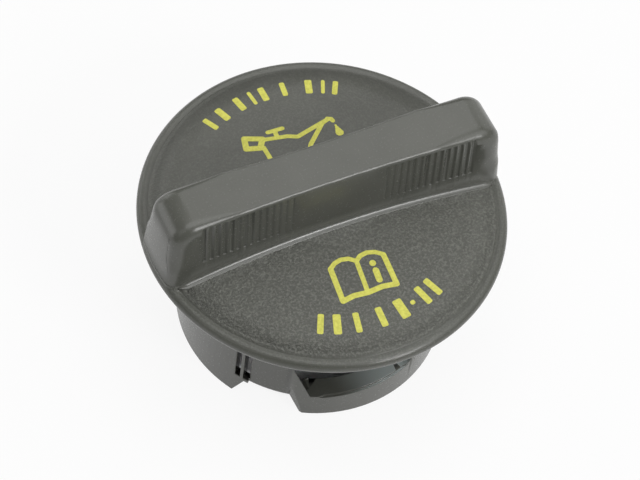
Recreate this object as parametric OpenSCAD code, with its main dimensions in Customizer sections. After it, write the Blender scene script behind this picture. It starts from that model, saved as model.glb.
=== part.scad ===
// Oil filler cap, millimetres.
// The cap stands on the ends of its two skirt wings, with its axis on Z.
// X runs along the handle, and -Y is the side with the instruction print.

/* [Disc] */
// Diameter of the disc over its rolled rim
disc_d = 66; // [62:1:72]
// Radius of the rolled rim's round section
rim_r = 1.2; // [1:0.1:1.6]
// Height of the crown's edge above the rim's widest level
crown_edge_h = 1.5; // [1.2:0.1:2.2]
// Rise of the crown's middle above its edge
crown_rise = 1.7; // [1:0.1:3]
// Radius that rounds the crown's edge
crown_edge_r = 0.9; // [0.3:0.1:1]
// Width of the groove between crown and rim
rim_groove_w = 0.6; // [0.3:0.1:0.8]
// Height of the groove's floor above the rim's widest level
rim_groove_h = 0.5; // [0.2:0.1:0.8]
// Thickness of the flange beside the skirt, below the rim's widest level
flange_drop = 1; // [0.8:0.1:1.2]

/* [Handle] */
// Width of the handle's top at its waist
grip_w = 8.5; // [7.5:0.1:10]
// Height of the handle's top above the rim's widest level
grip_h = 15.4; // [12:0.2:18]
// Step from the disc's edge in to the foot of each end wall of the handle
grip_end_inset = 0.2; // [0.1:0.1:1]
// Draft of the handle's end walls, in degrees
grip_end_draft = 6; // [3:0.5:9]
// Radius of the nose that turns the top down to each end wall
nose_r = 4.9; // [3:0.1:7]
// Draft of the handle's long sides at their top edge, in degrees
grip_draft = 4.2; // [3:0.1:6]
// Radius of the waist that narrows the handle at mid length
waist_r = 485; // [400:5:700]
// Radius of the handle's upright corners at their foot, from where it shrinks upwards
grip_corner_r = 2.4; // [1:0.1:3]
// Radius along the handle's top edges, and of the upright corners at the top
grip_edge_r = 0.8; // [0.4:0.1:1.2]

/* [Grip ribs] */
// Spacing of the grooves that leave the grip ribs
rib_pitch = 1.28; // [1.1:0.02:1.8]
// Radius of the grooves
rib_groove_r = 0.48; // [0.4:0.02:0.5]
// Depth of the grooves nearest to the handle's ends
rib_depth = 0.45; // [0.2:0.05:0.5]
// Share of that depth that is left at a groove's foot
rib_foot_share = 0.6; // [0.3:0.1:1]
// Smooth stretch from mid length to the first groove, which is the shallowest
rib_mid_land = 8; // [4:0.5:12]
// Smooth stretch between the last groove and each end wall
rib_end_land = 7.1; // [6:0.1:9]
// Smooth stretch from the top edge down to the grooves
rib_top_land = 0.9; // [0.6:0.1:2]
// Height of the grooves' feet above the rim's widest level
rib_foot_h = 6; // [5:0.1:8]

/* [Handle core] */
// Wall left round the hollow inside the handle
core_wall = 2.2; // [1.6:0.1:3]

/* [Skirt] */
// Gap between the seal's outer edge and the inside of the skirt
seal_room = 2.9; // [2:0.1:4]
// Wall of the skirt
skirt_wall = 1.6; // [1.2:0.1:2]
// Depth of the skirt below the rim's widest level
skirt_depth = 28.7; // [26:0.1:32]

/* [Bayonet] */
// Angle of the middle of the front entry notch, from +X
notch_at = -134.2; // [-140:0.1:-128]
// Width of the notch between the wings' ends
notch_w = 13; // [11:0.1:15]
// Width of the notch at its top
notch_top_w = 8.6; // [7:0.1:10]
// Height of the notch
notch_h = 5; // [3:0.1:5.2]
// Depth of the panel above the notch, below the wings' surface
panel_inset = 0.6; // [0.3:0.1:0.9]
// Angle from the notch's middle to the twin slots' middle
slot_turn = -11.2; // [-13:0.1:-10]
// Width of each slot
slot_w = 1.1; // [0.8:0.1:1.4]
// Width of the rib between the twin slots
slot_rib_w = 0.6; // [0.5:0.1:1]
// Lower end of the slots above the wings' ends
slot_z = 5.8; // [5.6:0.1:8]
// Height of the slots
slot_h = 8.4; // [5:0.1:10]
// Angle from the notch's middle to the window's middle
window_turn = 43; // [42:0.1:45]
// Width of the window along its sill
window_w = 20.5; // [17:0.1:21]
// Height of the sill at its low end, next to the post
sill_h = 5.9; // [5:0.1:7]
// Climb of the sill from its low end to its high end
sill_climb = 1.3; // [0.5:0.1:2]
// Upper edge of the window above the wings' ends
window_top = 15.2; // [13:0.1:18]
// Sideways lean of the window's post from sill to upper edge
post_lean = 3.4; // [1:0.1:4]
// Radius of the window's corner at the closed end
window_r = 3; // [2:0.1:4]
// Depth of the step along the sill's outer edge
sill_step = 0.4; // [0.2:0.1:0.7]
// Turn of the chamfer that leads from the panel up to the post, in degrees
post_chamfer = 21; // [15:1:35]
// Downward tilt of that chamfer, in degrees
post_tilt = 7; // [3:1:12]
// Inward reach of the ledge under the window
ledge_reach = 2.2; // [1.6:0.1:2.6]
// Angle that the ledge and its stop cover
ledge_angle = 62; // [60:1:68]
// Drop and run of the lead-in at the ledge's start, next to the notch
lead_in = 0.8; // [0.5:0.1:1.2]
// Height of the stop at the ledge's far end
stop_h = 11; // [10:0.1:13]

/* [Spigot and seal] */
// Outer diameter of the seal, which the pilot and the skirt follow
seal_d = 41; // [38:0.1:44]
// Reach of the seal out past the pilot
seal_lip = 2.7; // [2:0.1:3.5]
// Length of the pilot
pilot_len = 6; // [4:0.1:9]
// Wall of the pilot
pilot_wall = 2; // [1.5:0.1:2.5]
// Depth of the groove that holds the seal, below the pilot's surface
seal_groove = 0.9; // [0.5:0.1:1.2]
// Thickness of the seal
seal_t = 2.2; // [1.6:0.1:3]
// Width of the raised sealing bead
bead_w = 1; // [0.6:0.1:1]
// Height of the raised sealing bead
bead_h = 0.5; // [0.3:0.1:0.8]
// Gap between the seal and the groove's floor and lip
seal_gap = 0.05; // [0.02:0.01:0.1]

/* [Hidden] */
$fn = 96;
// Overrun of every cutting tool past the surface that it cuts
over = 1;

disc_r = disc_d / 2;
rim_z = skirt_depth;
crown_r = disc_r - rim_r - rim_groove_w;
crown_edge_z = rim_z + crown_edge_h;
crown_top_z = crown_edge_z + crown_rise;
crown_ball_r = (crown_r * crown_r + crown_rise * crown_rise) / (2 * crown_rise);
crown_ball_z = crown_top_z - crown_ball_r;
flange_z = rim_z - flange_drop;
rim_groove_z = rim_z + rim_groove_h;

grip_top_z = rim_z + grip_h;
grip_x = disc_r - grip_end_inset;
grip_top_x = grip_x - grip_h * tan(grip_end_draft);
nose_x = grip_x - (grip_h - nose_r) * tan(grip_end_draft) - nose_r;
nose_z = grip_top_z - nose_r;
waist_y = grip_w / 2 + waist_r * cos(grip_draft);
waist_z = grip_top_z + waist_r * sin(grip_draft);
// How far a rounding tool's ball stands out of the faces that it blends
graze = 0.02;

rib_x = grip_x - rib_end_land;
rib_first = ceil(rib_mid_land / rib_pitch);
rib_last = floor(rib_x / rib_pitch);
rib_top_z = grip_top_z - rib_top_land;
rib_foot_z = rim_z + rib_foot_h;

// Outer diameter of the skirt, which leaves room round the seal
skirt_d = seal_d + 2 * (seal_room + skirt_wall);
skirt_r = skirt_d / 2;
skirt_in = skirt_r - skirt_wall;
ledge_in = skirt_in - ledge_reach;

// Diameter of the pilot that enters the filler neck, inside the seal
pilot_d = seal_d - 2 * seal_lip;
pilot_r = pilot_d / 2;
seal_in = pilot_r - seal_groove;
seal_z = flange_z - seal_t;
pilot_top_z = seal_z - seal_gap;
pilot_z = pilot_top_z - pilot_len;
bore_r = pilot_r - seal_groove - pilot_wall;
core_ceiling_z = crown_top_z - core_wall;

// Half width of the handle at a place along it and a height,
// less the radius of a ball inside the handle that touches its side
function grip_side(x, z, ball_r = 0) =
    waist_y - sqrt(pow(waist_r + ball_r, 2) - x * x - pow(waist_z - z, 2));

// Centre of a ball inside the handle that touches its side and its end wall
function corner_ball(z, r) =
    let (out = grip_x - (z - rim_z) * tan(grip_end_draft) - r / cos(grip_end_draft))
    let (y = grip_side(out, z, r))
    [sqrt(out * out - y * y), grip_side(sqrt(out * out - y * y), z, r), z];

// Height of the crown at a distance from the axis
function crown_z(r) = crown_ball_z + sqrt(crown_ball_r * crown_ball_r - r * r);

// Copies its children to both ends of a diameter
module both_ways() {
    for (turn = [0, 180]) rotate(turn) children();
}

// Copies its children to both long sides of the handle
module both_sides() {
    for (side = [0, 1]) mirror([0, side, 0]) children();
}

// Copies its children to both ends of the handle
module both_ends() {
    for (end = [0, 1]) mirror([end, 0, 0]) children();
}

// Turns an outline in width and height into a prism from radius a out to radius b
module radial_prism(a, b) {
    translate([a, 0, 0])
        rotate([90, 0, 90])
            linear_extrude(b - a) children();
}

// Ring between two radii, from z0 up to z1
module ring(r_in, r_out, z0, z1) {
    translate([0, 0, z0])
        difference() {
            cylinder(r = r_out, h = z1 - z0);
            translate([0, 0, -over]) cylinder(r = r_in, h = z1 - z0 + 2 * over);
        }
}

// Sector of a ring, swept anticlockwise from the angle start
module ring_sector(r_in, r_out, z0, z1, start, sweep) {
    rotate(start)
        rotate_extrude(angle = sweep)
            translate([r_in, z0]) square([r_out - r_in, z1 - z0]);
}

// Half section of the crown: a large arc with a round edge
module crown_section() {
    edge_x = crown_r - crown_edge_r;
    edge_z = crown_z(crown_r) - crown_edge_r;
    intersection() {
        translate([0, crown_ball_z]) circle(r = crown_ball_r, $fn = 720);
        translate([0, flange_z]) square([edge_x, crown_top_z - flange_z]);
    }
    translate([0, flange_z]) square([crown_r, edge_z - flange_z]);
    translate([edge_x, edge_z]) circle(r = crown_edge_r, $fn = 48);
}

// Crowned disc, its groove and its rolled rim
module disc() {
    rotate_extrude() crown_section();
    ring(crown_r - rim_r, disc_r - rim_r, flange_z, rim_groove_z);
    rotate_extrude()
        translate([disc_r - rim_r, rim_z]) circle(r = rim_r, $fn = 48);
}

// Side view of the handle: flat top and a round nose at each end
module grip_profile() {
    translate([-grip_x, rim_z]) square([2 * grip_x, grip_h - nose_r]);
    translate([-nose_x, rim_z]) square([2 * nose_x, grip_h]);
    for (side = [-1, 1]) translate([side * nose_x, nose_z]) circle(r = nose_r);
}

// Tool that narrows one side of the handle to its waist, with draft
module waist_tool() {
    translate([0, waist_y, waist_z]) sphere(r = waist_r, $fn = 360);
}

// Tool that rounds one top edge of the handle along its waist
module edge_tool() {
    ball_z = grip_top_z - grip_edge_r;
    ball_x = sqrt(pow(waist_r + grip_edge_r, 2) - pow(waist_z - ball_z, 2));
    reach = asin((grip_x + over) / waist_r);
    translate([0, waist_y, 0])
        rotate(-90 - reach)
            rotate_extrude(angle = 2 * reach, $fn = 720)
                difference() {
                    translate([ball_x - grip_edge_r - over, ball_z])
                        square([grip_edge_r + over, grip_edge_r + over]);
                    translate([ball_x, ball_z]) circle(r = grip_edge_r + graze, $fn = 48);
                }
}

// Tool that rounds one upright corner of the handle.
// The balls that touch both walls shrink evenly from the foot to the top, so they fill a cone.
module corner_tool() {
    low = corner_ball(rim_z, grip_corner_r);
    high = corner_ball(grip_top_z, grip_edge_r);
    path = high - low;
    span = norm(path);
    taper = (grip_corner_r - grip_edge_r) / span;
    spread = 1 / cos(asin(taper));
    heading = atan2(path.y, path.x);
    wall = atan2(low.y, low.x);
    side = 90 + asin(low.x / waist_r);
    reach = grip_corner_r + over;
    translate(low)
        rotate([0, acos(path.z / span), heading])
            rotate(-heading)
                difference() {
                    linear_extrude(span)
                        polygon([
                            [0, 0], reach * [cos(wall), sin(wall)],
                            reach * [cos(wall) + cos(side), sin(wall) + sin(side)],
                            reach * [cos(side), sin(side)]
                        ]);
                    translate([0, 0, -over])
                        cylinder(
                            r1 = (grip_corner_r + over * taper) * spread + graze,
                            r2 = (grip_edge_r - over * taper) * spread + graze,
                            h = span + 2 * over);
                }
}

// Rows of upright grooves that leave the grip ribs on one side.
// They get deeper towards both ends of the handle and towards its top.
module rib_grooves() {
    fade_x = rib_mid_land / 2;
    for (end = [-1, 1], i = [rib_first : rib_last]) {
        x = i * rib_pitch;
        depth = rib_depth * (x - fade_x) / (rib_x - fade_x);
        foot_y = grip_side(x, rib_foot_z) + rib_groove_r - depth * rib_foot_share;
        top_y = grip_side(x, rib_top_z) + rib_groove_r - depth;
        lean = atan2(foot_y - top_y, rib_top_z - rib_foot_z);
        translate([end * x, foot_y, rib_foot_z])
            rotate([lean, 0, 0])
                cylinder(r = rib_groove_r, h = (rib_top_z - rib_foot_z) / cos(lean), $fn = 24);
    }
}

// Bar handle across the disc
module handle() {
    block_w = 2 * (grip_side(grip_x, rim_z) + over);
    difference() {
        intersection() {
            translate([0, block_w / 2, 0])
                rotate([90, 0, 0])
                    linear_extrude(block_w) grip_profile();
            translate([0, 0, rim_z])
                cylinder(r1 = grip_x, r2 = grip_top_x, h = grip_h);
        }
        both_sides() {
            waist_tool();
            edge_tool();
            rib_grooves();
            both_ends() corner_tool();
        }
    }
}

// Hollow inside the handle, open to the spigot's bore
module handle_core() {
    core_x = sqrt(bore_r * bore_r - grip_w * grip_w / 4) - over;
    foot = grip_side(0, core_ceiling_z) - core_wall;
    top = grip_side(0, grip_top_z - core_wall) - core_wall;
    translate([-core_x, 0, 0])
        rotate([90, 0, 90])
            linear_extrude(2 * core_x)
                polygon([
                    [-foot, core_ceiling_z - over], [foot, core_ceiling_z - over],
                    [top, grip_top_z - core_wall], [-top, grip_top_z - core_wall]
                ]);
}

// Outline of the entry notch, with sloping sides
module notch_outline() {
    flare = over * (notch_w - notch_top_w) / (2 * notch_h);
    polygon([
        [-notch_w / 2 - flare, -over], [notch_w / 2 + flare, -over],
        [notch_top_w / 2, notch_h], [-notch_top_w / 2, notch_h]
    ]);
}

// Outline of the window over the ledge: leaning post side, climbing sill, round far corner.
// The number drop lowers the sill.
module window_outline(drop) {
    half = window_w / 2;
    near_z = sill_h - drop;
    far_z = near_z + sill_climb;
    polygon(concat(
        [[-half - post_lean, window_top], [-half, near_z]],
        [for (a = [270 : 15 : 360])
            [half - window_r + window_r * cos(a), far_z + window_r + window_r * sin(a)]],
        [[half, window_top]]
    ));
}

// Inset panel over the notch, with one side slanted to match the post
module panel_tool() {
    from = asin((slot_rib_w / 2 + slot_w) / skirt_r) + slot_turn;
    ring_sector(
        skirt_r - panel_inset, skirt_r + over, 0, flange_z,
        notch_at + from, asin(notch_top_w / 2 / skirt_r) - from);
}

// Slanted face that leads from the panel up to the surface of the post
module post_chamfer_tool() {
    foot = asin(notch_top_w / 2 / skirt_r);
    intersection() {
        rotate(notch_at + foot)
            translate([skirt_r - panel_inset, 0, notch_h])
                rotate([0, post_tilt, -post_chamfer])
                    translate([0, -notch_h, -2 * notch_h])
                        cube([2 * skirt_wall, 2 * notch_h, window_top + 2 * notch_h]);
        ring(skirt_r - panel_inset, skirt_r + over, -over, flange_z);
    }
}

// Step along the outer edge of the window's sill
module sill_step_tool() {
    intersection() {
        radial_prism(skirt_in, skirt_r + over)
            intersection() {
                window_outline(sill_step);
                translate([-window_w / 2, 0]) square([window_w, window_top]);
            }
        ring(skirt_r - sill_step, skirt_r + over, 0, window_top);
    }
}

// Twin slots with a thin rib between them
module slot_tool() {
    for (side = [-1, 1])
        translate([skirt_in - over, side * (slot_w + slot_rib_w) / 2 - slot_w / 2, slot_z])
            cube([skirt_wall + 2 * over, slot_w, slot_h]);
}

// Ledge for one ear of the neck, with a lead-in at the notch and a stop at the far end.
// The window's cut gives it its climbing top.
module ledge() {
    post_x = -window_w / 2;
    top = stop_h + over;
    intersection() {
        ring_sector(
            ledge_in, skirt_in + skirt_wall / 2, 0, stop_h,
            notch_at + asin(notch_w / 2 / skirt_r), ledge_angle);
        rotate(notch_at + window_turn)
            radial_prism(0, skirt_r)
                polygon([
                    [-skirt_r, -over], [skirt_r, -over], [skirt_r, top],
                    [post_x + 2 * lead_in, top], [post_x + 2 * lead_in, sill_h + lead_in],
                    [post_x - lead_in, sill_h - lead_in], [-skirt_r, sill_h - lead_in]
                ]);
    }
}

// Skirt with its two bayonet wings
module skirt() {
    difference() {
        union() {
            ring(skirt_in, skirt_r, 0, flange_z + over / 2);
            both_ways() ledge();
        }
        both_ways() {
            rotate(notch_at) radial_prism(ledge_in - over, skirt_r + over) notch_outline();
            panel_tool();
            post_chamfer_tool();
            rotate(notch_at + slot_turn) slot_tool();
            rotate(notch_at + window_turn) {
                radial_prism(ledge_in - 2 * over, skirt_r + over) window_outline(0);
                sill_step_tool();
            }
        }
    }
}

// Spigot under the disc: a groove for the seal and a pilot for the neck
module spigot() {
    ring(bore_r, seal_in, pilot_top_z - over, flange_z + over / 2);
    ring(bore_r, pilot_r, pilot_z, pilot_top_z);
}

module cap_body() {
    color("#55554f") {
        difference() {
            union() {
                disc();
                handle();
            }
            translate([0, 0, flange_z - over])
                cylinder(r = bore_r, h = core_ceiling_z - flange_z + over);
            handle_core();
        }
        skirt();
        spigot();
    }
}

// Rubber seal, stretched round the spigot against the flange
module seal_ring() {
    bead_r = (pilot_r + seal_gap + seal_d / 2) / 2;
    color("#1c1c1d") {
        ring(seal_in + seal_gap, seal_d / 2, seal_z, flange_z);
        ring(bead_r - bead_w / 2, bead_r + bead_w / 2, seal_z - bead_h, seal_z);
    }
}

cap_body();
seal_ring();
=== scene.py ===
# %% [markdown]
# # An oil filler cap in dark plastic
#
# The cap is one moulding: a crowned disc with a rolled rim, a waisted bar handle with
# grip ribs, and a bayonet skirt. The CAD model already has all of these shapes, so this
# lesson adds what a mould, a printer and a studio add: the grain of the surface, the
# yellow print, the rubber of the seal, and soft light.
#
# The first step loads the CAD model as a fixed frame, with each piece's placement baked into
# its mesh.

# %% Load the cap
import math

import bpy
import numpy as np
from mathutils import Matrix, Vector


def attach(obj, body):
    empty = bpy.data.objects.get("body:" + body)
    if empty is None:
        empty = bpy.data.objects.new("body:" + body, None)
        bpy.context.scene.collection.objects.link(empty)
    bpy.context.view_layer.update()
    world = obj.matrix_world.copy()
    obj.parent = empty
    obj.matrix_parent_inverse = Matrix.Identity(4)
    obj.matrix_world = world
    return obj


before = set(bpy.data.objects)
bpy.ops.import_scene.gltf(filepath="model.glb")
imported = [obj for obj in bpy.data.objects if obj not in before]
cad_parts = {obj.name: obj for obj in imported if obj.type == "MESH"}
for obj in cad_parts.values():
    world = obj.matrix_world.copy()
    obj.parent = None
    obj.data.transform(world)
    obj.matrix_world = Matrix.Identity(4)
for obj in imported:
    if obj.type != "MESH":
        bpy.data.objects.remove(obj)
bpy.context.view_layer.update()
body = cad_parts["cap_body"]
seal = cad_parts["seal_ring"]
MM = 0.001

# %% [markdown]
# The photograph looks down on the cap from the front and a little from the left. The
# camera could be placed by eye, but the round rim gives its angles exactly, since a
# circle seen at an angle is an ellipse. The numbers below come from such a fit: how far
# the camera turns round the cap, how high it stands, how much it is tilted, and where
# the disc's middle lies in the picture. A long lens from far away keeps the rim nearly
# the same size in front and behind.

# %% Place the camera
PICTURE = (640, 480)
TURN, HEIGHT, TILT = (math.radians(v) for v in (-32.573, 55.967, 9.258))
DISC_MIDDLE = (322.892, 210.688)
DISC_R = 33 * MM
RIM_Z = 28.7 * MM
AWAY = 12 * DISC_R
FOCAL_PIXELS = 2233.57
SENSOR = 36

back = Vector((
    math.sin(TURN) * math.cos(HEIGHT), -math.cos(TURN) * math.cos(HEIGHT), math.sin(HEIGHT)))
level_right = Vector((math.cos(TURN), math.sin(TURN), 0))
level_up = back.cross(level_right)
right = math.cos(TILT) * level_right + math.sin(TILT) * level_up
up = math.cos(TILT) * level_up - math.sin(TILT) * level_right
aside = (PICTURE[0] / 2 - DISC_MIDDLE[0]) * AWAY / FOCAL_PIXELS
above = (DISC_MIDDLE[1] - PICTURE[1] / 2) * AWAY / FOCAL_PIXELS
place = back * AWAY + right * aside + up * above + Vector((0, 0, RIM_Z))

lens = bpy.data.cameras.new("photo_camera")
lens.sensor_width = SENSOR
lens.lens = FOCAL_PIXELS * SENSOR / PICTURE[0]
lens.clip_start, lens.clip_end = 0.01, 20
camera = bpy.data.objects.new("photo_camera", lens)
facing = Matrix((right, up, back)).transposed().to_4x4()
camera.matrix_world = Matrix.Translation(place) @ facing
bpy.context.scene.collection.objects.link(camera)
bpy.context.scene.camera = camera
print("lens in mm:", round(lens.lens, 1), "place:", [round(v, 3) for v in place])

# %% [markdown]
# Materials in Blender are graphs of nodes. Wiring them one by one hides the idea, so a
# small class wraps a socket and lets Python's own signs do the sums: every + or * on a
# number adds one Math node. Colours are mixed and scaled by their own nodes, because a
# Math node would turn them grey.

# %% Write shader sums as Python sums
class Value:
    """A socket that carries a number, with Python's operators as Math nodes."""

    def __init__(self, paint, socket):
        self.paint, self.socket = paint, socket

    def sum(self, operation, *others):
        return self.paint.node("Math", dict(enumerate([self, *others])), operation=operation)

    def __add__(self, other): return self.sum("ADD", other)
    def __radd__(self, other): return self.sum("ADD", other)
    def __sub__(self, other): return self.sum("SUBTRACT", other)
    def __rsub__(self, other): return self.sum("MULTIPLY_ADD", -1, other)
    def __mul__(self, other): return self.sum("MULTIPLY", other)
    def __pow__(self, other): return self.sum("POWER", other)

    def fade(self, start, end):
        """0 at start and below, 1 at end and above, smooth between."""
        inputs = {"Value": self, "From Min": start, "From Max": end}
        return self.paint.node("MapRange", inputs, interpolation_type="SMOOTHSTEP")


class Paint:
    """One material, whose node method adds a node from its type, settings and inputs."""

    def __init__(self, name, **fixed):
        self.material = bpy.data.materials.new(name)
        self.material.use_nodes = True
        self.tree = self.material.node_tree
        self.shader = self.tree.nodes["Principled BSDF"]
        for socket, value in fixed.items():
            self.shader.inputs[socket.replace("_", " ")].default_value = value

    def node(self, kind, inputs, output=0, **settings):
        made = self.tree.nodes.new("ShaderNode" + kind)
        for setting, value in settings.items():
            setattr(made, setting, value)
        for socket, value in inputs.items():
            self.feed(made.inputs[socket], value)
        return Value(self, made.outputs[output])

    def feed(self, socket, value):
        if isinstance(value, Value):
            self.tree.links.new(value.socket, socket)
        else:
            socket.default_value = value

    def place(self):
        """Coordinates in metres on the piece itself, and its x, y and z."""
        coordinates = self.node("TexCoord", {}, output="Object")
        parts = [self.node("SeparateXYZ", {0: coordinates}, output=k) for k in range(3)]
        return coordinates, *parts

    def noise(self, coordinates, size, detail=2.0, rough=0.5):
        """Noise from 0 to 1 with lumps of the given size in metres."""
        return self.node("TexNoise", {
            "Vector": coordinates, "Scale": 1 / size, "Detail": detail, "Roughness": rough})

    def blend(self, factor, dark, light):
        """A colour between dark and light."""
        inputs = {"Factor": factor, 6: dark, 7: light}
        return self.node("Mix", inputs, output=2, data_type="RGBA")

    def soft_edges(self, radius):
        """A normal that rounds sharp edges off by the given radius in metres."""
        return self.node("Bevel", {"Radius": radius}, samples=6)

    def bump(self, height, depth, normal=None):
        """Gives the surface a height that varies by depth metres, on top of a normal."""
        inputs = {"Height": height, "Distance": depth}
        if normal:
            inputs["Normal"] = normal
        self.feed(self.shader.inputs["Normal"], self.node("Bump", inputs))


def colour(red, green, blue):
    """A shader's colour from the three numbers that a picture gives, 0 to 255."""
    linear = [(v / 255 / 12.92) if v < 11 else ((v / 255 + 0.055) / 1.055) ** 2.4
              for v in (red, green, blue)]
    return (*linear, 1)


def dress(piece, paint):
    """Gives a CAD node one material in place of its own."""
    piece.data.materials.clear()
    piece.data.materials.append(paint.material)
    print(piece.name, "wears", paint.material.name, "with", len(paint.tree.nodes), "nodes")


# %% [markdown]
# The mould's crown was spark eroded, so it leaves a fine grain on the disc, stronger in
# front of the handle than behind it. The handle, the rim and the skirt come out smoother
# and shinier. A mask tells them apart by height: a point lies on the crown when it is as
# high as the crown is at its distance from the axis. The crown's section is an arc, so
# that height takes one square root.
#
# The other masks work by distance from the axis. The rim and the handle's ends are worn
# round, so a Bevel node softens their edges more than the crisp ones of the ribs and the
# skirt. Inside the skirt, and on the walls of its slots, the colour is painted darker:
# painted shade, where little light gets in. The ledges, which slide over the neck's ears
# at each turn, are smooth, and painted lighter towards their far end: a painted
# reflection of the light from the right. The product of x and y tells a ledge's two ends
# apart, and it does so on both wings alike.

# %% Paint the plastic
CROWN_R, CROWN_RISE, CROWN_TOP = 31.2 * MM, 1.7 * MM, 31.9 * MM
BALL_R = (CROWN_R ** 2 + CROWN_RISE ** 2) / (2 * CROWN_RISE)
BALL_Z = CROWN_TOP - BALL_R
SKIRT_IN, SKIRT_R = 23.4 * MM, 25 * MM
LEDGE_IN, LEDGE_TOP = 21.2 * MM, 9 * MM
NEAR_END, FAR_END = -150 * MM ** 2, 130 * MM ** 2
SLOTS_AT, SLOTS_REACH, SLOTS_TOP = math.radians(-145.4), 1.3 * MM, 14.2 * MM
WORN_FROM = 27.8 * MM
GRAIN_SIZE, GRAIN_DEPTH, CLOUD_SIZE = 0.42 * MM, 0.3 * MM, 6 * MM
CRISP, WORN = 0.25 * MM, 0.8 * MM


def crown_height(x, y):
    """Height of the crown over a point, in metres."""
    return BALL_Z + np.sqrt(BALL_R ** 2 - x ** 2 - y ** 2)


plastic = Paint("cap_plastic", Specular_IOR_Level=0.5)
at, x, y, z = plastic.place()
off_axis = x * x + y * y
radius = off_axis ** 0.5
over_crown = z - (BALL_R ** 2 - off_axis) ** 0.5 - BALL_Z
grainy = 1 - over_crown.fade(0.1 * MM, 0.5 * MM)
crown_edge = CROWN_TOP - CROWN_RISE
crown = z.fade(crown_edge - 0.6 * MM, crown_edge) * grainy

face = plastic.node("NewGeometry", {}, output="Normal")
upward = plastic.node("SeparateXYZ", {0: face}, output=2).fade(0.6, 0.9)
ledge = upward * radius.fade(LEDGE_IN - 0.3 * MM, LEDGE_IN) \
    * (1 - z.fade(LEDGE_TOP, LEDGE_TOP + 1 * MM))
# painted reflection: the ledges' tops are painted lighter towards their far end
painted_sheen = ledge * (x * y * -1).fade(NEAR_END, FAR_END)
# painted shade: the plastic inside the skirt is painted darker
inside = (1 - radius.fade(SKIRT_IN + 0.2 * MM, SKIRT_R - 0.3 * MM)) \
    * (1 - z.fade(24 * MM, 26 * MM)) * (1 - ledge)

# painted shade: the walls of the slots are painted darker too
from_slots = x * -math.sin(SLOTS_AT) + y * math.cos(SLOTS_AT)
slots = (1 - from_slots.sum("ABSOLUTE").fade(SLOTS_REACH, SLOTS_REACH + 0.1 * MM)) \
    * (1 - radius.fade(SKIRT_R - 0.2 * MM, SKIRT_R - 0.05 * MM)) \
    * (1 - z.fade(SLOTS_TOP, SLOTS_TOP + 0.2 * MM))

grain = plastic.noise(at, GRAIN_SIZE, detail=3, rough=0.65)
cloud = plastic.noise(at, CLOUD_SIZE, detail=1)
depth = crown * (0.95 - y.fade(-6 * MM, 6 * MM) * 0.6) + 0.05
tone = grain.fade(0.43, 0.68) * depth * 0.85 + cloud * 0.2
grain_tone = plastic.blend(tone, colour(82, 83, 77), colour(116, 117, 110))
# painted shade inside the skirt and in its slots
painted_shade = plastic.blend(inside + slots, grain_tone, colour(44, 44, 42))
# painted reflection: the pale sheen on the ledges' far ends
plastic.feed(plastic.shader.inputs["Base Color"],
             plastic.blend(painted_sheen, painted_shade, colour(168, 176, 174)))
plastic.feed(plastic.shader.inputs["Roughness"],
             0.27 + crown * 0.09 + depth * grain * 0.12 - ledge * 0.1)
edges = plastic.node("Mix", {
    "Factor": radius.fade(WORN_FROM, WORN_FROM + 1 * MM), 4: plastic.soft_edges(CRISP),
    5: plastic.soft_edges(WORN)}, output=1, data_type="VECTOR")
plastic.bump(grain * depth, GRAIN_DEPTH, edges)
dress(body, plastic)

# %% [markdown]
# Two roundings on the handle are made here, because the CAD model leaves these corners
# sharp. A fillet leads from the handle's sides down to the crown, and its highlight is
# the brightest line in the photograph. And the handle's ends are rounded like a thumb.
#
# Both are the work of a rolling ball. Its path is a row of centres, and at each centre
# the section is the arc between the two points that the ball touches, closed by a
# corner beyond it. The fillet's corner is sunk in the plastic. At the handle's end the
# corner lies outside, so the closed mesh is what a cutter has to take away.

# %% Sweep the section of a rolling ball
WAIST_R = 485 * MM
GRIP_W, GRIP_TOP, GRIP_DRAFT = 8.5 * MM, 44.1 * MM, math.radians(4.2)
ARC_STEPS = 12
crown_centre = np.array([0, 0, BALL_Z])
waist_centre = np.array([0, GRIP_W / 2 + WAIST_R * math.cos(GRIP_DRAFT),
                         GRIP_TOP + WAIST_R * math.sin(GRIP_DRAFT)])


def unit(vector):
    return vector / np.linalg.norm(vector)


def ball_section(centre, r, one, other, corner):
    """The arc that a ball leaves between two directions, closed by a corner beyond it."""
    bend = math.acos(one @ other)
    shares = [(math.sin(bend * (1 - t)), math.sin(bend * t))
              for t in np.linspace(0, 1, ARC_STEPS + 1)]
    arc = [centre + r * (a * one + b * other) / math.sin(bend) for a, b in shares]
    reach = r + corner
    return arc + [centre + reach * other, centre + reach * (other + one), centre + reach * one]


def sweep(name, sections, sides):
    """One closed mesh over all sections for each side, mirrored where a sign is -1."""
    verts, faces, smooth = [], [], []
    count, rows = len(sections[0]), len(sections)
    flat = np.concatenate(sections)
    for signs in sides:
        base = len(verts)
        made = []
        for low in range(0, (rows - 1) * count, count):
            high = low + count
            for j in range(count):
                k = (j + 1) % count
                made.append([low + k, high + k, high + j, low + j])
                smooth.append(j < ARC_STEPS)
        made += [list(range(count))[::-1], list(range((rows - 1) * count, rows * count))]
        smooth += [False, False]
        if np.prod(signs) < 0:
            made = [f[::-1] for f in made]
        faces += [[base + v for v in f] for f in made]
        verts += (flat * signs).tolist()
    mesh = bpy.data.meshes.new(name)
    mesh.from_pydata(verts, [], faces)
    mesh.polygons.foreach_set("use_smooth", smooth)
    piece = bpy.data.objects.new(name, mesh)
    bpy.context.scene.collection.objects.link(piece)
    print(name, "has", len(mesh.polygons), "faces")
    return piece


# %% [markdown]
# The crown and the hollow that gives the handle its waist are parts of spheres. So the
# fillet's ball keeps a fixed distance from each sphere's centre, and it moves on a circle
# round the line through the two centres.

# %% Fill the corner at the handle's foot
FILLET_R, FILLET_TIP = 1.0 * MM, 0.25 * MM
FILLET_END, FILLET_TAPER = 30.5 * MM, 1.2 * MM
FILLET_ROWS = 161
SUNK = 0.3 * MM


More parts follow.
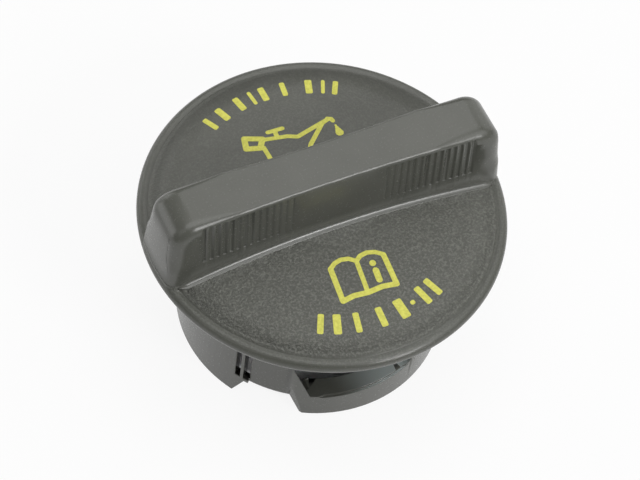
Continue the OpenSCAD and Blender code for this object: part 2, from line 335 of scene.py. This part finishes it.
def fillet_section(along):
    """The fillet's section at a place along the handle. It is thin at the very ends."""
    full = min(1.0, (FILLET_END - abs(along)) / FILLET_TAPER)
    r = FILLET_TIP + (FILLET_R - FILLET_TIP) * full
    line = waist_centre - crown_centre
    span = np.linalg.norm(line)
    line = line / span
    to_crown, to_waist = BALL_R + r, WAIST_R - r
    foot = (to_crown ** 2 - to_waist ** 2 + span ** 2) / (2 * span)
    off_line = math.sqrt(to_crown ** 2 - foot ** 2)
    upwards = np.array([0, -line[2], line[1]]) * math.sqrt(off_line ** 2 - along ** 2)
    centre = crown_centre + foot * line + upwards + np.array([along, 0, 0])
    down, inwards = unit(crown_centre - centre), unit(centre - waist_centre)
    return ball_section(centre, r, down, inwards, SUNK)


fillet_plastic = Paint("fillet_plastic", Roughness=0.3, Specular_IOR_Level=0.8)
at = fillet_plastic.place()[0]
fillet_tone = fillet_plastic.noise(at, 0.45 * MM, detail=3, rough=0.6)
fillet_plastic.feed(fillet_plastic.shader.inputs["Base Color"], fillet_plastic.blend(
    fillet_tone.fade(0.3, 0.7), colour(84, 85, 79), colour(96, 97, 91)))
fillet_plastic.bump(fillet_tone, 0.02 * MM)
fillet_rows = [fillet_section(v) for v in np.linspace(-FILLET_END, FILLET_END, FILLET_ROWS)]
for name, side in (("fillet_front", -1), ("fillet_back", 1)):
    piece = sweep(name, fillet_rows, [(1, side, 1)])
    piece.data.materials.append(fillet_plastic.material)
    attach(piece, "root")

# %% [markdown]
# At the handle's end the ball runs along the top edge, over the nose and down the end
# wall. It grows from a small ball, which lies in the edge's own rounding and so cuts
# nothing, and it shrinks again on the way down to the rim. The cutter itself is hidden:
# a Boolean modifier takes its shape away from the body.

# %% Round the handle's ends
NOSE_R, NOSE_X, NOSE_Z = 4.9 * MM, 26.797 * MM, 39.2 * MM
END_X, END_DRAFT = 32.8 * MM, math.radians(6)
ROUND_R, ROUND_TIP = 2.3 * MM, 0.3 * MM
ROUND_RUN, ROUND_GROWTH = 9 * MM, 0.7
ROUND_LOW, ROUND_FOOT = 36 * MM, 30.5 * MM
CUT_BEYOND = 1.2 * MM
RUN_ROWS, NOSE_ROWS, WALL_ROWS = 24, 20, 20


def grip_side(x, z, r):
    """Distance from the middle plane to a ball inside the handle that touches its side."""
    hollow = (WAIST_R + r) ** 2 - x ** 2 - (waist_centre[2] - z) ** 2
    return waist_centre[1] - math.sqrt(hollow)


def end_sections():
    """Sections along the top edge, over the nose and down the end wall."""
    rows = []
    overhead = np.array([0, 0, 1.0])
    outward = np.array([math.cos(END_DRAFT), 0, math.sin(END_DRAFT)])

    def add(x, z, r, out):
        wall = END_X - (z - RIM_Z) * math.tan(END_DRAFT) - r / math.cos(END_DRAFT)
        x = min(x, math.sqrt(wall ** 2 - grip_side(x, z, r) ** 2))
        centre = np.array([x, grip_side(x, z, r), z])
        rows.append(ball_section(centre, r, out, unit(waist_centre - centre), CUT_BEYOND))

    for share in np.linspace(0, 1, RUN_ROWS)[:-1]:
        r = ROUND_TIP + (ROUND_R - ROUND_TIP) * share ** ROUND_GROWTH
        add(NOSE_X - ROUND_RUN * (1 - share), GRIP_TOP - r, r, overhead)
    turn_r = NOSE_R - ROUND_R
    for angle in np.linspace(math.pi / 2, END_DRAFT, NOSE_ROWS):
        out = np.array([math.cos(angle), 0, math.sin(angle)])
        add(NOSE_X + turn_r * out[0], NOSE_Z + turn_r * out[2], ROUND_R, out)
    nose_end = NOSE_Z + turn_r * math.sin(END_DRAFT)
    for level in np.linspace(nose_end, ROUND_FOOT, WALL_ROWS)[1:]:
        full = min(1, (level - ROUND_FOOT) / (ROUND_LOW - ROUND_FOOT))
        add(END_X, level, ROUND_TIP + (ROUND_R - ROUND_TIP) * full, outward)
    return rows


CORNERS = [(1, 1, 1), (-1, 1, 1), (1, -1, 1), (-1, -1, 1)]
cutter = sweep("handle_end_cutter", end_sections(), CORNERS)
cutter.hide_render = True
rounding = body.modifiers.new("round_handle_ends", "BOOLEAN")
rounding.operation, rounding.solver, rounding.object = "DIFFERENCE", "EXACT", cutter

# %% [markdown]
# The seal is rubber: darker than the plastic, with almost no shine. It sits deep under
# the disc, so a plain material is enough.

# %% Paint the seal
rubber = Paint("seal_rubber", Roughness=0.75, Specular_IOR_Level=0.3,
               Base_Color=colour(34, 34, 35))
rubber.bump(rubber.noise(rubber.place()[0], 0.3 * MM), 0.02 * MM)
dress(seal, rubber)

# %% [markdown]
# The yellow marks are a film of ink a few hundredths of a millimetre thick. They could be
# a picture on the disc, but then they would blur close up. Here each mark is a thin mesh.
# A shape is written as a distance: negative inside it and positive outside. The smallest
# of several distances joins their shapes, so strokes that cross become one film. A grid
# is then walked square by square, and each square keeps the corner of it that lies inside.

# %% Describe flat shapes by distance
def stroke(points, width):
    """A line of the given width with round ends through points."""
    points = np.array(points, float)

    def distance(x, y):
        nearest = np.full(np.shape(x), np.inf)
        for (ax, ay), (bx, by) in zip(points[:-1], points[1:]):
            run = (bx - ax) ** 2 + (by - ay) ** 2
            along = np.clip(((x - ax) * (bx - ax) + (y - ay) * (by - ay)) / run, 0, 1)
            gap = np.hypot(x - ax - along * (bx - ax), y - ay - along * (by - ay))
            nearest = np.minimum(nearest, gap)
        return nearest - width / 2

    return distance


def disc(cx, cy, radius):
    """A filled disc."""
    return lambda x, y: np.hypot(x - cx, y - cy) - radius


def bar(r, angle, width, height, corner=0.3):
    """An upright block with round corners, at an angle in degrees on a circle of radius r."""
    a = math.radians(angle)
    side = math.copysign(1, math.sin(a))

    def distance(x, y):
        out = np.abs(x * math.cos(a) + y * math.sin(a) - r) - height / 2 + corner
        along = np.abs(side * (y * math.cos(a) - x * math.sin(a))) - width / 2 + corner
        return np.hypot(np.maximum(out, 0), np.maximum(along, 0)) \
            + np.minimum(np.maximum(out, along), 0) - corner

    return distance


def joined(*shapes):
    """All the shapes as one."""
    return lambda x, y: np.minimum.reduce([s(x, y) for s in shapes])


# %% [markdown]
# The film has a top and a narrow side wall all round, and its underside lies on the
# crown. Every vertex is lifted to the crown's own height, so the film follows its arc.

# %% Turn a shape into a film of ink
INK = 0.03
CELL = 0.11


def film(name, shape, x_range, y_range, paint):
    """Lays a mesh of the shape on the crown. Sizes are in mm."""
    xs = np.arange(x_range[0], x_range[1] + CELL, CELL)
    ys = np.arange(y_range[0], y_range[1] + CELL, CELL)
    grid = shape(*np.meshgrid(xs, ys, indexing="ij"))
    verts, faces, known = [], [], {}

    def vertex(key, px, py):
        if key not in known:
            known[key] = len(verts)
            verts.append((px, py))
        return known[key]

    def crossing(a, b):
        share = grid[a] / (grid[a] - grid[b])
        px = xs[a[0]] + share * (xs[b[0]] - xs[a[0]])
        py = ys[a[1]] + share * (ys[b[1]] - ys[a[1]])
        return vertex((min(a, b), max(a, b)), px, py)

    inside = grid < 0
    touched = inside[:-1, :-1] | inside[1:, :-1] | inside[:-1, 1:] | inside[1:, 1:]
    for i, j in zip(*np.nonzero(touched)):
        ring = [(i, j), (i + 1, j), (i + 1, j + 1), (i, j + 1)]
        face = []
        for a, b in zip(ring, ring[1:] + ring[:1]):
            if inside[a]:
                face.append(vertex(a, xs[a[0]], ys[a[1]]))
            if inside[a] != inside[b]:
                face.append(crossing(a, b))
        if len(set(face)) > 2:
            faces.append(face)

    flat = np.array(verts) * MM
    height = crown_height(flat[:, 0], flat[:, 1])
    count = len(flat)
    top = np.column_stack([flat, height + INK * MM])
    low = np.column_stack([flat, height - INK * MM])
    used = {(a, b) for f in faces for a, b in zip(f, f[1:] + f[:1])}
    edge = [(a, b) for a, b in used if (b, a) not in used]
    walls = [(b, a, a + count, b + count) for a, b in sorted(edge)]
    unders = [[v + count for v in reversed(f)] for f in faces]
    mesh = bpy.data.meshes.new(name)
    mesh.from_pydata(np.vstack([top, low]).tolist(), [], faces + walls + unders)
    mesh.validate()
    mesh.materials.append(paint.material)
    piece = bpy.data.objects.new(name, mesh)
    bpy.context.scene.collection.objects.link(piece)
    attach(piece, "root")
    print(name, "has", len(mesh.polygons), "faces")


# %% [markdown]
# The ink is a warm, slightly green yellow without much shine. It takes a little of the
# grain below it, and its colour varies a little, as a thin coat does.

# %% Mix the ink
ink = Paint("print_ink", Roughness=0.5, Specular_IOR_Level=0.4)
patch = ink.noise(ink.place()[0], 0.5 * MM, detail=3, rough=0.6)
ink.feed(ink.shader.inputs["Base Color"],
         ink.blend(patch.fade(0.3, 0.7), colour(196, 194, 82), colour(216, 214, 98)))
ink.bump(patch, 0.03 * MM)

# %% [markdown]
# Two arcs of plain bars stand where the real cap has its printed words. Their widths
# and gaps vary as words do.

# %% Print the two arcs of bars
BACK_R, FRONT_R = 26.1, 24.9
BACK_H, FRONT_H = 3.3, 3.8
BACK_BARS = [(116.7, 1.0), (109.8, 1.3), (101.2, 1.2), (95.2, 0.7), (90.2, 1.2),
             (81.6, 1.0), (71.3, 1.3), (65.5, 0.7), (60.6, 1.0)]
FRONT_BARS = [(-116.3, 1.1), (-109.7, 1.4), (-101.6, 1.1), (-91.5, 1.2),
              (-82.4, 1.7), (-71.3, 1.2), (-65.5, 1.2)]
back_arc = joined(*(bar(BACK_R, a, w, BACK_H) for a, w in BACK_BARS))
film("print_arc_back", back_arc, (-14, 16), (20, 29), ink)
front_arc = joined(*(bar(FRONT_R, a, w, FRONT_H) for a, w in FRONT_BARS),
                   bar(FRONT_R, -76.9, 0.9, 0.8))
film("print_arc_front", front_arc, (-14, 14), (-28, -19), ink)

# %% [markdown]
# Behind the handle is the common sign for engine oil: a can with a handle, a lid and a
# spout, and a drop below the spout's tip. Most of its strokes have one width.

# %% Print the oil can
PEN = 0.85
can = joined(
    stroke([(-7.6, 17.8), (-4.6, 16.5), (-5.8, 14.75), (-8.2, 15.5), (-7.6, 17.8)], 1.1),
    stroke([(-4.3, 16.2), (-0.2, 15.4), (1.5, 14.6), (8.5, 16.4)], PEN),
    stroke([(8.3, 16.5), (8.9, 16.2), (9.0, 15.7)], PEN),
    stroke([(8.5, 16.4), (7.0, 15.9), (3.0, 12.2), (0.9, 8.9)], PEN),
    stroke([(-5.2, 14.6), (-5.0, 8.9), (0.9, 8.9)], PEN),
    stroke([(-2.0, 15.8), (-1.8, 17.4)], PEN),
    stroke([(-3.1, 17.5), (-0.3, 17.4)], PEN),
    disc(9.0, 12.8, 0.75),
    stroke([(9.0, 12.8), (9.02, 13.4)], 1.1),
    stroke([(9.02, 13.4), (9.03, 14.0)], 0.7),
    stroke([(9.03, 14.0), (9.03, 14.6)], 0.4),
)
film("print_oil_can", can, (-10, 11), (7, 20), ink)

# %% [markdown]
# In front is an open book with a dot over a bar, the common sign for "read the
# instructions". Its covers are drawn thicker than its pages.

# %% Print the open book
COVER_PEN = 1.0
book = joined(
    stroke([(-4.9, -13.2), (-3.9, -12.5), (-2.6, -12.2), (-1.2, -12.5), (-0.1, -13.4)], PEN),
    stroke([(-0.1, -13.4), (1.0, -12.7), (2.3, -12.5), (3.7, -12.9), (4.9, -13.8)], PEN),
    stroke([(-5.0, -13.3), (-5.6, -19.7)], COVER_PEN),
    stroke([(4.9, -13.9), (4.6, -19.9)], COVER_PEN),
    stroke([(-5.6, -19.8), (-3.4, -19.5), (-0.8, -19.8)], COVER_PEN),
    stroke([(-0.8, -19.8), (2.0, -19.6), (4.6, -20.0)], COVER_PEN),
    stroke([(-0.1, -13.4), (-0.8, -19.4)], PEN),
    disc(2.4, -14.8, 0.6),
    stroke([(2.3, -16.3), (2.1, -18.2)], 1.15),
)
film("print_open_book", book, (-7, 7), (-21, -11), ink)

# %% [markdown]
# A product photograph stands on a white sheet. The floor here is a plain pale plane.
# Seen by the camera and in reflections it is nearly white, which comes from a glow for
# those rays alone and not from stronger light, and it still takes the cap's shadow. The
# sheet inside the skirt has no glow, because no light reaches it there.

# %% Lay the floor
GLOW_SHARE = 0.9
HALF = 1.5


def studio_white(name):
    """A pale surface that the camera and reflections see as almost white."""
    paint = Paint(name, Roughness=0.9, Specular_IOR_Level=0.1, Base_Color=(0.8, 0.8, 0.8, 1))
    x, y = paint.place()[1:3]
    outside = ((x * x + y * y) ** 0.5).fade(19.5 * MM, 22 * MM)
    ray = paint.tree.nodes.new("ShaderNodeLightPath")
    seen = [Value(paint, ray.outputs[k]) for k in
            ("Is Camera Ray", "Is Glossy Ray", "Is Transmission Ray")]
    glow = paint.node("Emission", {"Color": (1, 1, 1, 1), "Strength": 1.0})
    share = seen[0].sum("MAXIMUM", seen[1].sum("MAXIMUM", seen[2])) * GLOW_SHARE * outside
    plain = Value(paint, paint.shader.outputs[0])
    mixed = paint.node("MixShader", {0: share, 1: plain, 2: glow})
    paint.feed(paint.tree.nodes["Material Output"].inputs[0], mixed)
    return paint


floor_mesh = bpy.data.meshes.new("floor")
floor_corners = [(-HALF, -HALF, 0), (HALF, -HALF, 0), (HALF, HALF, 0), (-HALF, HALF, 0)]
floor_mesh.from_pydata(floor_corners, [], [(0, 1, 2, 3)])
floor_mesh.materials.append(studio_white("floor_white").material)
floor = bpy.data.objects.new("floor", floor_mesh)
bpy.context.scene.collection.objects.link(floor)

# %% [markdown]
# The light of the photograph is soft. Most of it comes from a wide panel overhead, and
# a ring of panels at half height fills the sides, strongest on the right. A small panel
# in front draws the bright line along the handle's foot. Two low panels light the
# handle's left end and the back of the skirt. A panel's direction is given by two angles
# in degrees: how far it stands round the cap from +X, and how high. The world is white
# for the camera alone, so it adds no light.

# %% Set the lights
AWAY_LAMP = 0.7
PANELS = [
    # name, angle round, angle up, side of the square panel, power
    ("overhead", 0, 90, 0.6, 2.7),
    ("foot_line", -70, 36, 0.2, 2.0),
    ("right_front", -33, 45, 0.4, 0.9),
    ("behind", 57, 45, 0.4, 0.85),
    ("right", 20, 20, 0.4, 0.5),
    ("left", -168, 45, 0.4, 0.3),
    ("low_left", 147, 8, 0.35, 0.85),
    ("back", 110, 22, 0.4, 0.9),
]
aim = Vector((0, 0, RIM_Z))
for name, turn, height, side, power in PANELS:
    lamp = bpy.data.lights.new(name, "AREA")
    lamp.size, lamp.energy = side, power
    turn, height = math.radians(turn), math.radians(height)
    direction = Vector((
        math.cos(turn) * math.cos(height), math.sin(turn) * math.cos(height), math.sin(height)))
    panel = bpy.data.objects.new(name, lamp)
    panel.location = aim + direction * AWAY_LAMP
    panel.rotation_euler = direction.to_track_quat("Z", "Y").to_euler()
    bpy.context.scene.collection.objects.link(panel)
    print(name, "at", [round(v, 2) for v in panel.location], "gives", power, "W")

world = bpy.data.worlds.new("studio")
world.use_nodes = True
bpy.context.scene.world = world
nodes, links = world.node_tree.nodes, world.node_tree.links
sky = nodes["Background"]
sky.inputs["Color"].default_value = (1, 1, 1, 1)
ray = nodes.new("ShaderNodeLightPath")
links.new(ray.outputs["Is Camera Ray"], sky.inputs["Strength"])

# %% [markdown]
# The colours should come out as they are written, so the view transform is Standard.

# %% Finish
bpy.context.scene.view_settings.view_transform = "Standard"
